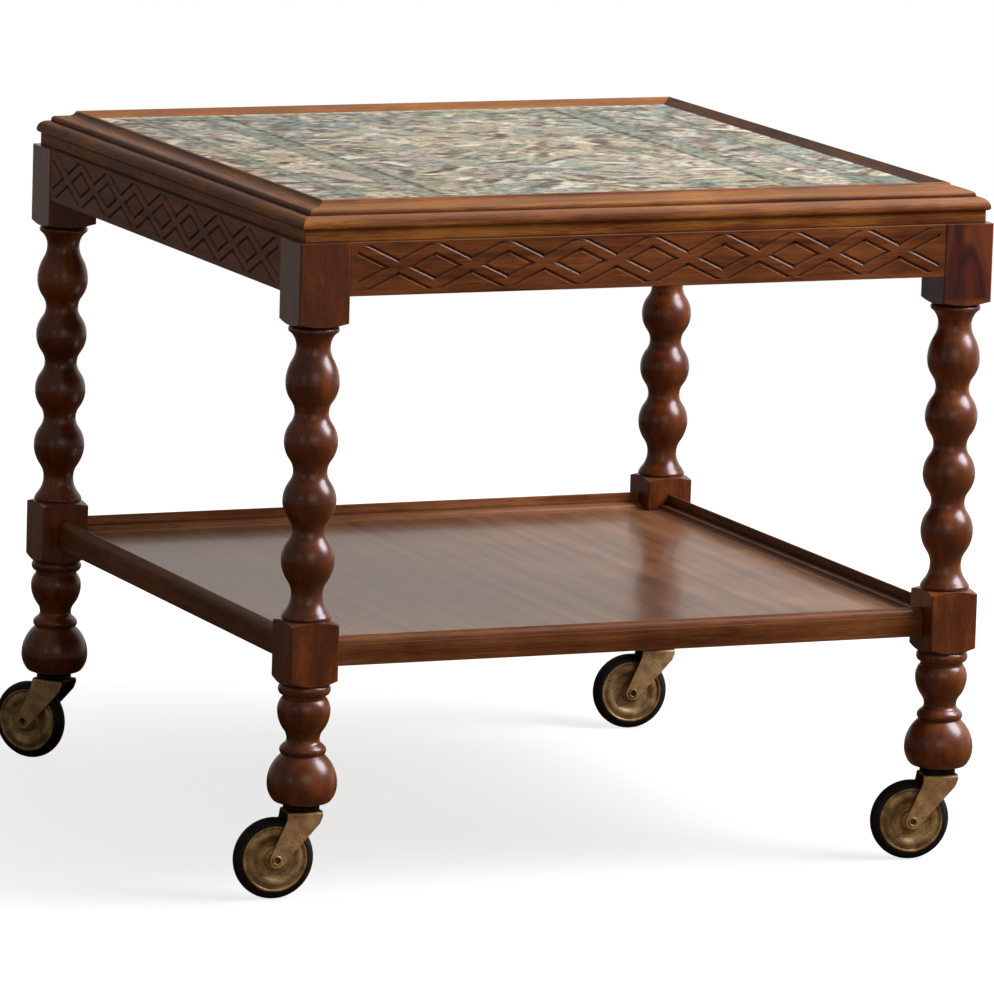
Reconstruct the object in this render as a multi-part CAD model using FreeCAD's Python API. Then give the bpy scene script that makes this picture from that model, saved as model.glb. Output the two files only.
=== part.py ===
import FreeCAD, Part
import math
import os
from FreeCAD import Vector

# A square serving table on four castors: turned legs, carved aprons, a mitred top frame
# round a woven panel, and a railed shelf. Millimetres, +Z up, the front faces -Y.
# The origin is on the floor, under the middle of the whole table with its castors.

# Main sizes
side = 620.0                    # plan, over the outer faces of the upper leg blocks
height = 572.6                  # floor to the crest of the top frame
wheel_radius = 33.8
castor_trail = 22.8             # swivel axis to axle
castor_trail_angles = {         # where each wheel trails, degrees from +X
    "front_left": 174.0, "front_right": 169.0, "back_right": 171.0, "back_left": 129.0}

# Fits
glue_gap = 0.1                  # beside panels and glued edges
dowel_fit = 0.05                # round dowels, screws and fixed pins
running_fit = 0.05              # round pins that turn
overrun = 2.0                   # how far a cutting shape passes the face it cuts

# Leg, from the foot up: bun, collar and vase
bun_base_radius = 19.5
bun_base_round = 6.0
bun_radius = 28.8
bun_neck_radius = 17.6
bun_lower_height = 15.5
bun_upper_height = 24.5
collar_radius = 19.2
collar_height = 7.0
collar_step = 1.3
vase_neck_radius = 13.6
vase_neck_height = 5.5
vase_radius = 21.8
vase_lower_height = 24.0
vase_bend_share = 0.3           # where the vase's S curve turns, up from its neck
vase_upper_height = 9.5
vase_top_radius = 18.8
groove_radius = 17.8
groove_height = 4.0
ring_radius = 21.6
ring_edge_radius = 20.0
ring_height = 8.0

# Leg: the lower block and the flare over it
lower_block = 42.0
lower_block_height = 45.4
lower_shoulder_height = 4.8
flare_shoulder_height = 3.3
flare_collar_radius = 20.6
flare_collar_height = 3.5
flare_radius = 18.5
flare_step_height = 2.5
flare_height = 14.5
flare_neck_radius = 13.0

# Leg: the bobbins and the upper block
bobbin_count = 4
bobbin_radius = 22.0
bobbin_neck_radius = 14.0
bobbin_bend_share = 0.37        # where the S curve turns, from a neck to a bobbin
first_bobbin_height = 28.5
top_neck_height = 29.6
cove_height = 11.4
cove_top_radius = 18.9
top_ring_radius = 20.9
top_ring_height = 5.6
upper_block = 44.0
upper_shoulder_height = 4.0
upper_block_height = 65.5
block_edge_round = 1.4

# Aprons and their carved lattice
apron_height = 43.5
apron_thickness = 20.0
apron_inset = 0.6
crossing_count = 8
crossing_pitch = 64.0
strap_width = 6.2
frieze_height = 37.0
frieze_lift = 0.9               # the frieze's middle over the apron's middle
panel_gap = 1.2                 # between the corners of two edge panels
frieze_end = 36.5               # from the last crossing to the frieze's end
groove_depth = 1.2
groove_slope = 1.8              # across the gentle wall, beside the strap
groove_floor = 0.2
groove_wall = 0.9               # across the steep wall, beside the panel
groove_mitre = 0.3              # from a groove's floor to the mitre at its end

# Top frame: section from its outer face inwards
fascia_inset = 5.4
fascia_height = 10.6
nosing_inset = 2.3
nosing_rise = 2.4
nosing_width = 9.6
nosing_height = 7.9
step_height = 1.3
shoulder_width = 4.1
shoulder_height = 3.4
slope_width = 7.5
slope_height = 1.0
lift_width = 5.0
lift_height = 4.4
lift_width_share = 0.6          # the middle point of the hollow lift
lift_height_share = 0.34
land_width = 1.5
land_height = 0.5
inner_width = 9.2
inner_drop = 5.6
board_rebate = 8.0

# Panel in the top, and the cloth on it
top_board_thickness = 9.0
cloth_thickness = 1.2
cloth_gap = 0.2

# Shelf and its rails
shelf_thickness = 10.5
rail_inset = 15.0               # behind the outer face of the lower block
rail_drop = 1.4                 # its middle under the lower block's middle
rail_face_height = 17.6
rail_step = 0.9
rail_thumb_width = 4.1
rail_thumb_height = 5.9
rail_crest_width = 2.0
rail_crest_height = 0.5
rail_inner_drop = 8.1
rail_ledge_width = 8.0
rail_ledge_drop = 0.6
rail_cove_width = 5.6

# Dowels, fixing blocks and screws
dowel_radius = 4.0
dowel_end_gap = 0.8
apron_dowel_length = 38.0
apron_dowel_spacing = 22.0
rail_dowel_leg_depth = 11.5
rail_dowel_rail_depth = 20.0
rail_dowel_rise = 7.8
fixing_block_length = 44.0
fixing_block_depth = 17.0
fixing_block_height = 24.0
fixing_block_spacing = 300.0
screw_radius = 1.8
screw_head_radius = 3.6
screw_head_height = 2.2
screw_bite = 9.0                # how far a screw goes into the second piece
screw_spacing = 18.0

# Castor: socket, washer and stem
flange_radius = 16.0
flange_thickness = 1.8
socket_radius = 6.3
socket_length = 40.0
washer_radius = 15.0
washer_thickness = 4.1
washer_chamfer = 0.8
washer_gap = 0.1
stem_radius = 4.7
stem_length = 36.0
stem_chamfer = 1.0
stem_neck_radius = 4.0
stem_head_radius = 6.5
stem_head_thickness = 1.5

# Castor: fork and axle, a tubular rivet
tyre_headroom = 4.0             # under the fork's top plate
fork_plate = 2.0
fork_bend = 3.0
fork_lead = 15.0                # the plate's leading edge, ahead of the swivel axis
fork_lead_drop = 4.0
fork_lead_chamfer = 2.4
fork_lead_slope_drop = 10.0
fork_tail = 14.0                # the plate's trailing edge
fork_tail_drop = 7.5
fork_tail_flare = 1.2
eye_radius = 6.2
axle_radius = 3.4
rivet_bore_radius = 2.4
rivet_bore_depth = 6.0
rivet_radius = 4.2
rivet_rise = 0.8

# Castor: wheel, a rubber tyre between two pressed faces
rim_face = 6.0                  # the wheel's middle plane to the face inside the rim
hub_gap = 0.3                   # hub to fork, each side
bush_wall = 1.35
bush_stand = 0.8                # past the boss, each side
boss_width = 1.8
boss_rise = 4.1
boss_slope_width = 4.2
dish_floor_width = 2.6
dish_sink = 1.0
bulge_share = 0.6               # the bulge's crest, from the dish out to the rim
bulge_rise = 1.2
rim_width = 2.6
rim_rise = 1.3
disc_sheet = 1.2
tyre_depth = 6.2                # past the rims
tyre_lap = 3.8                  # under the rims
tyre_seat_gap = 0.1
tyre_stand = 1.4                # its shoulder past the face inside the rim

# Levels and places worked out from the sizes above
up = Vector(0, 0, 1)
along_x = Vector(1, 0, 0)
along_y = Vector(0, 1, 0)
corners = ["front_left", "front_right", "back_right", "back_left"]
sides = ["front", "right", "back", "left"]
half = side / 2
leg_axis = half - upper_block / 2
ring_level = (bun_lower_height + bun_upper_height + collar_height + vase_neck_height
              + vase_lower_height + vase_upper_height + groove_height + ring_height)
flare_level = ring_level + lower_shoulder_height + lower_block_height + flare_shoulder_height
frame_rise = (fascia_height + nosing_rise + nosing_height + step_height + shoulder_height
              + slope_height + lift_height + land_height)
fork_top = 2 * wheel_radius + tyre_headroom + fork_plate
castor_height = fork_top + washer_gap + washer_thickness + flange_thickness
frame_level = height - frame_rise
top_ring_level = frame_level - castor_height - upper_block_height - upper_shoulder_height
top_bobbin_level = top_ring_level - top_ring_height - cove_height - top_neck_height
first_bobbin_level = flare_level + flare_collar_height + flare_step_height + flare_height
first_bobbin_level += first_bobbin_height
bobbin_pitch = (top_bobbin_level - first_bobbin_level) / (bobbin_count - 1)
cloth_edge = (nosing_inset + nosing_width + shoulder_width + slope_width + lift_width
              + land_width + inner_width)
board_level = frame_level + frame_rise - inner_drop - cloth_thickness
rail_height = rail_face_height + rail_thumb_height + rail_crest_height
rail_level = castor_height + ring_level + lower_shoulder_height
rail_level += (lower_block_height - rail_height) / 2 - rail_drop
rail_width = (rail_step + rail_thumb_width + rail_crest_width + rail_ledge_width
              + rail_cove_width)
rail_face = leg_axis + lower_block / 2 - rail_inset
apron_face = half - apron_inset
apron_back = apron_face - apron_thickness
apron_middle = frame_level - apron_height / 2
bush_radius = axle_radius + running_fit + bush_wall
bush_reach = rim_face + boss_rise + bush_stand
fork_inside = bush_reach + hub_gap
fork_width = 2 * (fork_inside + fork_plate)
rim_radius = wheel_radius - tyre_depth


def tangent_arc(start, end, tangent):
    """An arc from start to end that leaves start along tangent."""
    chord = end - start
    normal = chord - tangent * chord.dot(tangent)
    normal.normalize()
    radius = chord.dot(chord) / (2 * chord.dot(normal))
    centre = start + normal * radius
    middle = (start + end) * 0.5 - centre
    middle.normalize()
    return Part.Arc(start, centre + middle * radius, end).toShape()


class Outline:
    """A closed outline in the XZ plane, drawn from point to point."""

    def __init__(self, x, z):
        self.at = Vector(x, 0, z)
        self.begin = self.at
        self.edges = []

    def line(self, x, z):
        end = Vector(x, 0, z)
        self.edges.append(Part.makeLine(self.at, end))
        self.at = end

    def leave(self, x, z, direction=up):
        """An arc that starts along a direction."""
        end = Vector(x, 0, z)
        self.edges.append(tangent_arc(self.at, end, direction))
        self.at = end

    def arrive(self, x, z, direction=up):
        """An arc that ends along a direction."""
        end = Vector(x, 0, z)
        self.edges.append(tangent_arc(end, self.at, direction))
        self.at = end

    def wave(self, x, z, share=0.5, direction=up):
        """Two arcs that start and end along a direction and meet at a share of the way."""
        end = Vector(x, 0, z)
        turn = self.at + (end - self.at) * share
        self.leave(turn.x, turn.z, direction)
        self.arrive(x, z, direction)

    def bead(self, middle_x, middle_z, x, z):
        """One arc through a middle point."""
        end = Vector(x, 0, z)
        self.edges.append(Part.Arc(self.at, Vector(middle_x, 0, middle_z), end).toShape())
        self.at = end

    def swell(self, x, z, tight):
        """A tight arc out along X, then a wide one that ends along Z."""
        width = x - self.at.x
        height = z - self.at.z
        wide = (width ** 2 + height ** 2 - 2 * height * tight) / (2 * (width - tight))
        tight_centre = self.at + up * tight
        toward = tight_centre - Vector(x - wide, 0, z)
        toward.normalize()
        meet = tight_centre + toward * tight
        self.leave(meet.x, meet.z, along_x)
        self.arrive(x, z)

    def face(self):
        if (self.at - self.begin).Length > 0:
            self.line(self.begin.x, self.begin.z)
        return Part.Face(Part.Wire(self.edges))

    def turned(self):
        return self.face().revolve(Vector(), up, 360)

    def run(self, length):
        """The outline carried along Y, centred on the XZ plane."""
        solid = self.face().extrude(along_y * length)
        solid.translate(along_y * (-length / 2))
        return solid


def polygon(points):
    return Part.makePolygon(points + points[:1])


def post(width, low, high, edge_round):
    """A square post on the Z axis with eased upright edges."""
    block = Part.makeBox(width, width, high - low, Vector(-width / 2, -width / 2, low))
    upright = [e for e in block.Edges if e.Vertexes[0].Z != e.Vertexes[1].Z]
    return block.makeFillet(edge_round, upright)


def quarter_turn(shape, count):
    turned = shape.copy()
    turned.rotate(Vector(), up, 90.0 * count)
    return turned


def four_ways(shapes):
    """Copies of the front's pieces on all four sides, as one group."""
    return Part.makeCompound([quarter_turn(s, i) for s in shapes for i in range(len(sides))])


def both_ends(shapes):
    return shapes + [s.mirror(Vector(), along_x) for s in shapes]


# Leg, turned on the Z axis with its foot at zero
def turned_foot():
    shape = Outline(0, 0)
    shape.line(bun_base_radius, 0)
    z = bun_lower_height
    shape.swell(bun_radius, z, bun_base_round)
    z += bun_upper_height
    shape.leave(bun_neck_radius, z)
    shape.bead(collar_radius, z + collar_height / 2, bun_neck_radius, z + collar_height)
    z += collar_height
    shape.line(bun_neck_radius - collar_step, z + collar_step)
    z += vase_neck_height
    shape.arrive(vase_neck_radius, z)
    z += vase_lower_height
    shape.wave(vase_radius, z, vase_bend_share)
    z += vase_upper_height
    shape.leave(vase_top_radius, z)
    shape.line(groove_radius, z)
    z += groove_height
    shape.line(groove_radius, z)
    shape.line(ring_edge_radius, z)
    shape.bead(ring_radius, z + ring_height / 2, ring_edge_radius, z + ring_height)
    shape.line(0, z + ring_height)
    return shape.turned()


def square_block(width, low, low_radius, low_rise, height, high_radius, high_rise):
    """A square block with its ends turned down to round shoulders."""
    reach = width / math.sqrt(2)
    top = low + low_rise + height + high_rise
    shape = Outline(0, low)
    shape.line(low_radius, low)
    shape.line(reach, low + low_rise)
    shape.line(reach, top - high_rise)
    if high_rise > 0:
        shape.line(high_radius, top)
    shape.line(0, top)
    return shape.turned().common(post(width, low, top, block_edge_round))


def turned_shaft():
    z = flare_level
    shape = Outline(0, z)
    shape.line(ring_edge_radius, z)
    shape.bead(flare_collar_radius, z + flare_collar_height / 2,
               ring_edge_radius, z + flare_collar_height)
    z += flare_collar_height + flare_step_height
    shape.line(flare_radius, z)
    z += flare_height
    shape.arrive(flare_neck_radius, z)
    z += first_bobbin_height
    shape.wave(bobbin_radius, z, bobbin_bend_share)
    for _ in range(bobbin_count - 1):
        shape.wave(bobbin_neck_radius, z + bobbin_pitch / 2, 1 - bobbin_bend_share)
        z += bobbin_pitch
        shape.wave(bobbin_radius, z, bobbin_bend_share)
    z += top_neck_height
    shape.wave(bobbin_neck_radius, z, 1 - bobbin_bend_share)
    z += cove_height
    shape.leave(cove_top_radius, z)
    shape.bead(top_ring_radius, z + top_ring_height / 2, cove_top_radius, z + top_ring_height)
    shape.line(0, z + top_ring_height)
    return shape.turned()


def make_leg():
    """The front left leg in its place."""
    lower = square_block(lower_block, ring_level, ring_edge_radius, lower_shoulder_height,
                         lower_block_height, ring_edge_radius, flare_shoulder_height)
    upper = square_block(upper_block, top_ring_level, cove_top_radius, upper_shoulder_height,
                         upper_block_height, 0, 0)
    leg = turned_foot().fuse([lower, turned_shaft(), upper])
    bore = Part.makeCylinder(socket_radius + dowel_fit, socket_length + dowel_end_gap + overrun,
                             Vector(0, 0, -overrun))
    leg = leg.cut(bore)
    leg.translate(Vector(-leg_axis, -leg_axis, castor_height))
    bores = apron_end_dowels(dowel_radius + dowel_fit, dowel_end_gap)
    bores += rail_end_dowels(dowel_radius + dowel_fit, dowel_end_gap)
    bores += [quarter_turn(s.mirror(Vector(), along_x), 3) for s in bores]
    return leg.cut(bores)


# Dowels at the left end of the front apron and of the front rail
def apron_end_dowels(radius, end_gap):
    reach = apron_dowel_length / 2 + end_gap
    found = []
    for way in (-1, 1):
        start = Vector(upper_block - half - reach, apron_thickness / 2 - apron_face,
                       apron_middle + way * apron_dowel_spacing / 2)
        found.append(Part.makeCylinder(radius, 2 * reach, start, along_x))
    return found


def rail_end_dowels(radius, end_gap):
    into_leg = rail_dowel_leg_depth + end_gap
    length = into_leg + rail_dowel_rail_depth + end_gap
    start = Vector(lower_block / 2 - leg_axis - into_leg, rail_width / 2 - rail_face,
                   rail_level + rail_dowel_rise)
    return [Part.makeCylinder(radius, length, start, along_x)]


# Aprons
def inset_polygon(points, distances):
    """Moves each side of a convex polygon in the XZ plane inward by its distance."""
    centre = Vector()
    for point in points:
        centre += point * (1.0 / len(points))
    lines = []
    for start, end, distance in zip(points, points[1:] + points[:1], distances):
        run = end - start
        run.normalize()
        inward = Vector(-run.z, 0, run.x)
        if inward.dot(centre - start) < 0:
            inward = inward * -1
        lines.append((start + inward * distance, run))
    moved = []
    for (first, first_run), (second, second_run) in zip(lines[-1:] + lines[:-1], lines):
        gap = second - first
        cross = first_run.x * second_run.z - first_run.z * second_run.x
        share = (gap.x * second_run.z - gap.z * second_run.x) / cross
        moved.append(first + first_run * share)
    return moved


def panel_grooves(points, plain_side=None):
    """The wedges cut away along the sides of one panel, mitred at its corners."""
    width = groove_slope + groove_floor + groove_wall
    widths = [width] * len(points)
    if plain_side is not None:
        widths[plain_side] = 0
    inner = inset_polygon(points, widths)
    grooves = []
    for i in range(len(points)):
        if i == plain_side:
            continue
        after = (i + 1) % len(points)
        rim = [points[i], points[after], inner[after], inner[i]]
        floor = inset_polygon(rim, [groove_slope, groove_mitre, groove_wall, groove_mitre])
        floor = [p + along_y * groove_depth for p in floor]
        grooves.append(Part.makeLoft([polygon(rim), polygon(floor)], True, True))
    return grooves


def frieze_grooves():
    """The grooves beside the crossing straps, in the XZ plane.

    They follow the triangles and diamonds left between the straps; the triangles stay plain
    along the frieze's edges, where neighbouring straps meet.
    """
    rise = frieze_height / 2
    run = crossing_pitch / 2
    reach = run - panel_gap / 2
    slope = math.atan2(rise, reach) - math.asin(strap_width / 2 / math.hypot(rise, reach))
    tip_x = strap_width / 2 / math.sin(slope)
    tip_z = strap_width / 2 / math.cos(slope)
    first = -crossing_pitch * (crossing_count - 1) / 2
    grooves = []
    for i in range(crossing_count):
        x = first + i * crossing_pitch
        for way in (-1, 1):
            corners_xz = [Vector(x, 0, way * tip_z),
                          Vector(x - reach, 0, way * rise),
                          Vector(x + reach, 0, way * rise)]
            grooves += panel_grooves(corners_xz, 1)
    crest = run * math.tan(slope) - tip_z
    for i in range(crossing_count - 1):
        middle = first + run + i * crossing_pitch
        corners_xz = [Vector(middle - run + tip_x, 0, 0),
                      Vector(middle, 0, crest),
                      Vector(middle + run - tip_x, 0, 0),
                      Vector(middle, 0, -crest)]
        grooves += panel_grooves(corners_xz)
    end_rise = (frieze_end - tip_x) * math.tan(slope)
    for way in (-1, 1):
        x = -way * first
        corners_xz = [Vector(x + way * tip_x, 0, 0),
                      Vector(x + way * frieze_end, 0, end_rise),
                      Vector(x + way * frieze_end, 0, -end_rise)]
        grooves += panel_grooves(corners_xz, 1)
    return grooves


def make_apron():
    """The front apron in its place."""
    length = side - 2 * upper_block
    apron = Part.makeBox(length, apron_thickness, apron_height,
                         Vector(-length / 2, -apron_face, frame_level - apron_height))
    cuts = both_ends(apron_end_dowels(dowel_radius + dowel_fit, dowel_end_gap))
    for groove in frieze_grooves():
        groove.translate(Vector(0, -apron_face, apron_middle + frieze_lift))
        cuts.append(groove)
    cuts += front_screws(dowel_fit)
    return apron.cut(cuts)


# Top frame
def frame_outline():
    """The frame's section: x inwards from the outer face, z up from its underside."""
    shape = Outline(fascia_inset, 0)
    z = fascia_height
    shape.line(fascia_inset, z)
    x = nosing_inset
    z += nosing_rise
    shape.arrive(x, z)
    x += nosing_width
    z += nosing_height
    shape.leave(x, z)
    z += step_height
    shape.line(x, z)
    x += shoulder_width
    z += shoulder_height
    shape.leave(x, z)
    x += slope_width
    z += slope_height
    shape.line(x, z)
    shape.bead(x + lift_width * lift_width_share, z + lift_height * lift_height_share,
               x + lift_width, z + lift_height)
    x += lift_width + land_width
    z += lift_height + land_height
    shape.line(x, z)
    x += inner_width
    z -= inner_drop
    shape.line(x, z)
    z -= cloth_thickness
    shape.line(x, z)
    x -= board_rebate
    shape.line(x, z)
    shape.line(x, 0)
    return shape


def to_front(section, length, face, level):
    """A moulding along the front: its section's x runs back from the face."""
    moulding = section.run(length)
    moulding.rotate(Vector(), up, 90)
    moulding.translate(Vector(0, -face, level))
    return moulding


def make_frame_piece():
    """The front of the top frame, mitred at both ends."""
    piece = to_front(frame_outline(), side, half, frame_level)
    reach = half + overrun
    mitre = Part.Face(polygon([Vector(-reach, -reach, frame_level - overrun),
                               Vector(reach, -reach, frame_level - overrun),
                               Vector(0, 0, frame_level - overrun)]))
    piece = piece.common(mitre.extrude(up * (frame_rise + 2 * overrun)))
    return piece.cut(front_screws(dowel_fit))


# Panel and cloth in the top
def centred_slab(reach, thickness, level):
    return Part.makeBox(2 * reach, 2 * reach, thickness, Vector(-reach, -reach, level))


def make_top_board():
    reach = half - cloth_edge + board_rebate - glue_gap
    return centred_slab(reach, top_board_thickness, board_level - top_board_thickness)


def make_cloth():
    return centred_slab(half - cloth_edge - cloth_gap, cloth_thickness, board_level)


# Shelf
def rail_outline():
    """The rail's section: x inwards from its outer face, z up from its underside."""
    shape = Outline(0, 0)
    z = rail_face_height
    shape.line(0, z)
    x = rail_step
    shape.line(x, z)
    x += rail_thumb_width
    z += rail_thumb_height
    shape.leave(x, z)
    shape.bead(x + rail_crest_width / 2, z + rail_crest_height, x + rail_crest_width, z)
    x += rail_crest_width
    z -= rail_inner_drop
    shape.line(x, z)
    x += rail_ledge_width
    z -= rail_ledge_drop
    shape.line(x, z)
    shape.arrive(rail_width, shelf_thickness, along_x)
    shape.line(rail_width, 0)
    return shape


def make_rail():
    """The front rail in its place."""
    length = 2 * leg_axis - lower_block
    rail = to_front(rail_outline(), length, rail_face, rail_level)
    return rail.cut(both_ends(rail_end_dowels(dowel_radius + dowel_fit, dowel_end_gap)))


def make_shelf_board():
    board = centred_slab(rail_face - rail_width - glue_gap, shelf_thickness, rail_level)
    notch = lower_block + 2 * glue_gap
    block = Part.makeBox(notch, notch, shelf_thickness + 2 * overrun,
                         Vector(-leg_axis - notch / 2, -leg_axis - notch / 2,
                                rail_level - overrun))
    return board.cut([quarter_turn(block, i) for i in range(len(corners))])


# Fixing blocks between the aprons and the top frame, with their screws
def countersunk(spot, direction, length, clearance):
    """A screw whose flat head is flush at the spot."""
    radius = screw_radius + clearance
    shank = Part.makeCylinder(radius, length, spot, direction)
    head = Part.makeCone(screw_head_radius + clearance, radius, screw_head_height, spot, direction)
    return shank.fuse(head)


def front_screws(clearance):
    """The front pair of blocks' screws: one into the apron, one up into the frame."""
    frame_back = half - cloth_edge + board_rebate
    found = []
    for way in (-1, 1):
        x = way * fixing_block_spacing / 2
        spot = Vector(x - screw_spacing / 2, fixing_block_depth - apron_back,
                      frame_level - fixing_block_height / 2)
        found.append(countersunk(spot, along_y * -1, fixing_block_depth + screw_bite, clearance))
        spot = Vector(x + screw_spacing / 2, -(apron_back + frame_back) / 2,
                      frame_level - fixing_block_height)
        found.append(countersunk(spot, up, fixing_block_height + screw_bite, clearance))
    return found


def front_blocks():
    found = []
    for way in (-1, 1):
        corner = Vector(way * fixing_block_spacing / 2 - fixing_block_length / 2, -apron_back,
                        frame_level - fixing_block_height)
        block = Part.makeBox(fixing_block_length, fixing_block_depth, fixing_block_height, corner)
        found.append(block.cut(front_screws(dowel_fit)))
    return found


# Castors, built with the swivel on the Z axis and the wheel trailing along +X
def make_socket():
    tube = Part.makeCylinder(socket_radius, socket_length, Vector(0, 0, castor_height))
    flange = Part.makeCylinder(flange_radius, flange_thickness,
                               Vector(0, 0, castor_height - flange_thickness))
    bore = Part.makeCylinder(stem_radius + running_fit, socket_length + 2 * overrun,
                             Vector(0, 0, castor_height - overrun))
    return tube.fuse(flange).removeSplitter().cut(bore)


def make_washer():
    bore = stem_radius + running_fit
    low = fork_top + washer_gap
    high = low + washer_thickness
    shape = Outline(bore, low)
    shape.line(washer_radius - washer_chamfer, low)
    shape.line(washer_radius, low + washer_chamfer)
    shape.line(washer_radius, high - washer_chamfer)
    shape.line(washer_radius - washer_chamfer, high)
    shape.line(bore, high)
    return shape.turned()


def make_stem():
    plate_bottom = fork_top - fork_plate
    top = castor_height + stem_length
    shape = Outline(0, plate_bottom - stem_head_thickness)
    shape.line(stem_head_radius - stem_head_thickness / 2, plate_bottom - stem_head_thickness)
    shape.line(stem_head_radius, plate_bottom)
    shape.line(stem_neck_radius, plate_bottom)
    shape.line(stem_neck_radius, fork_top)
    shape.line(stem_radius, fork_top)
    shape.line(stem_radius, top - stem_chamfer)
    shape.line(stem_radius - stem_chamfer, top)
    shape.line(0, top)
    return shape.turned()


def tangent_point(point, centre, radius, way):
    """Where a line from a point touches a circle in the XZ plane."""
    gap = point - centre
    bearing = math.atan2(gap.z, gap.x) + way * math.acos(radius / gap.Length)
    return centre + Vector(math.cos(bearing), 0, math.sin(bearing)) * radius


def fork_side():
    """The fork's side view, carried right across it."""
    eye = Vector(castor_trail, 0, wheel_radius)
    tail = Vector(fork_tail + fork_tail_flare, 0, fork_top - fork_tail_drop)
    lead = Vector(fork_lead_chamfer - fork_lead, 0, fork_top - fork_lead_slope_drop)
    tail_touch = tangent_point(tail, eye, eye_radius, -1)
    lead_touch = tangent_point(lead, eye, eye_radius, 1)
    shape = Outline(-fork_lead, fork_top)
    shape.line(fork_tail, fork_top)
    shape.line(tail.x, tail.z)
    shape.line(tail_touch.x, tail_touch.z)
    away = tail_touch - tail
    away.normalize()
    shape.leave(lead_touch.x, lead_touch.z, away)
    shape.line(lead.x, lead.z)
    shape.line(-fork_lead, fork_top - fork_lead_drop)
    return shape.run(fork_width + 2 * overrun)


def channel(width, top, bend):
    """A long square bar under the fork's top, its two upper edges bent round."""
    length = 2 * (castor_trail + wheel_radius)
    bar = Part.makeBox(length, width, top, Vector(-length / 2, -width / 2, 0))
    long_edges = [e for e in bar.Edges if e.Vertexes[0].X != e.Vertexes[1].X]
    return bar.makeFillet(bend, [e for e in long_edges if e.Vertexes[0].Z > top / 2])


def make_fork():
    outer = channel(fork_width, fork_top, fork_bend)
    inner = channel(2 * fork_inside, fork_top - fork_plate, fork_bend - fork_plate)
    stem_hole = Part.makeCylinder(stem_neck_radius + dowel_fit, fork_top + overrun)
    axle_hole = Part.makeCylinder(axle_radius + dowel_fit, fork_width + 2 * overrun,
                                  Vector(castor_trail, -fork_width / 2 - overrun, wheel_radius),
                                  along_y)
    return outer.common(fork_side()).cut([inner, stem_hole, axle_hole])


def at_axle(shape):
    """Turns a shape from the Z axis onto the axle line, its top towards +Y."""
    turned = shape.copy()
    turned.rotate(Vector(), along_x, -90)
    turned.translate(Vector(castor_trail, 0, wheel_radius))
    return turned


def make_axle():
    """A rivet, hollow at its ends, which are rolled over outside the fork."""
    reach = fork_width / 2
    floor = reach - rivet_bore_depth
    lip_middle = (rivet_bore_radius + rivet_radius) / 2
    shape = Outline(0, -floor)
    shape.line(rivet_bore_radius, -floor)
    shape.line(rivet_bore_radius, -reach)
    shape.bead(lip_middle, -reach - rivet_rise, rivet_radius, -reach)
    shape.line(axle_radius, -reach)
    shape.line(axle_radius, reach)
    shape.line(rivet_radius, reach)
    shape.bead(lip_middle, reach + rivet_rise, rivet_bore_radius, reach)
    shape.line(rivet_bore_radius, floor)
    shape.line(0, floor)
    return at_axle(shape.turned())


def make_bush():
    bush = Part.makeCylinder(bush_radius, 2 * bush_reach, Vector(0, 0, -bush_reach))
    bore = Part.makeCylinder(axle_radius + running_fit, 2 * (bush_reach + overrun),
                             Vector(0, 0, -bush_reach - overrun))
    return at_axle(bush.cut(bore))


def make_disc(way):
    """A pressed wheel face: a boss, a dish, a rounded ring and a rolled rim."""
    hole = bush_radius + dowel_fit
    boss_edge = hole + boss_width
    dish_start = boss_edge + boss_slope_width
    dish_end = dish_start + dish_floor_width
    rim_inside = rim_radius - rim_width
    crest = dish_end + (rim_inside - dish_end) * bulge_share
    boss_face = rim_face + boss_rise
    dish_face = rim_face - dish_sink
    crest_face = rim_face + bulge_rise
    shape = Outline(hole, boss_face)
    shape.line(boss_edge, boss_face)
    shape.wave(dish_start, dish_face, direction=along_x)
    shape.line(dish_end, dish_face)
    shape.wave(crest, crest_face, direction=along_x)
    shape.wave(rim_inside, rim_face, direction=along_x)
    shape.bead(rim_radius - rim_width / 2, rim_face + rim_rise, rim_radius, rim_face)
    shape.line(rim_radius, rim_face - disc_sheet)
    shape.line(rim_inside, rim_face - disc_sheet)
    shape.wave(crest, crest_face - disc_sheet, direction=along_x)
    shape.wave(dish_end, dish_face - disc_sheet, direction=along_x)
    shape.line(dish_start, dish_face - disc_sheet)
    shape.wave(boss_edge, boss_face - disc_sheet, direction=along_x)
    shape.line(hole, boss_face - disc_sheet)
    disc = shape.turned()
    if way < 0:
        disc.rotate(Vector(), along_x, 180)
    return at_axle(disc)


def make_tyre():
    seat = rim_face - disc_sheet - tyre_seat_gap
    bore = rim_radius - tyre_lap
    lip = rim_radius + tyre_seat_gap
    shoulder = rim_face + tyre_stand
    shape = Outline(bore, -seat)
    shape.line(lip, -seat)
    shape.line(lip, -shoulder)
    shape.arrive(wheel_radius, 0)
    shape.leave(lip, shoulder)
    shape.line(lip, seat)
    shape.line(bore, seat)
    return at_axle(shape.turned())


def under_leg(shape, corner):
    """Swings a castor piece to its trail angle and moves it under its leg."""
    placed = shape.copy()
    placed.rotate(Vector(), up, castor_trail_angles[corner])
    placed.translate(quarter_turn(Part.Vertex(-leg_axis, -leg_axis, 0),
                                  corners.index(corner)).Point)
    return placed


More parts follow.
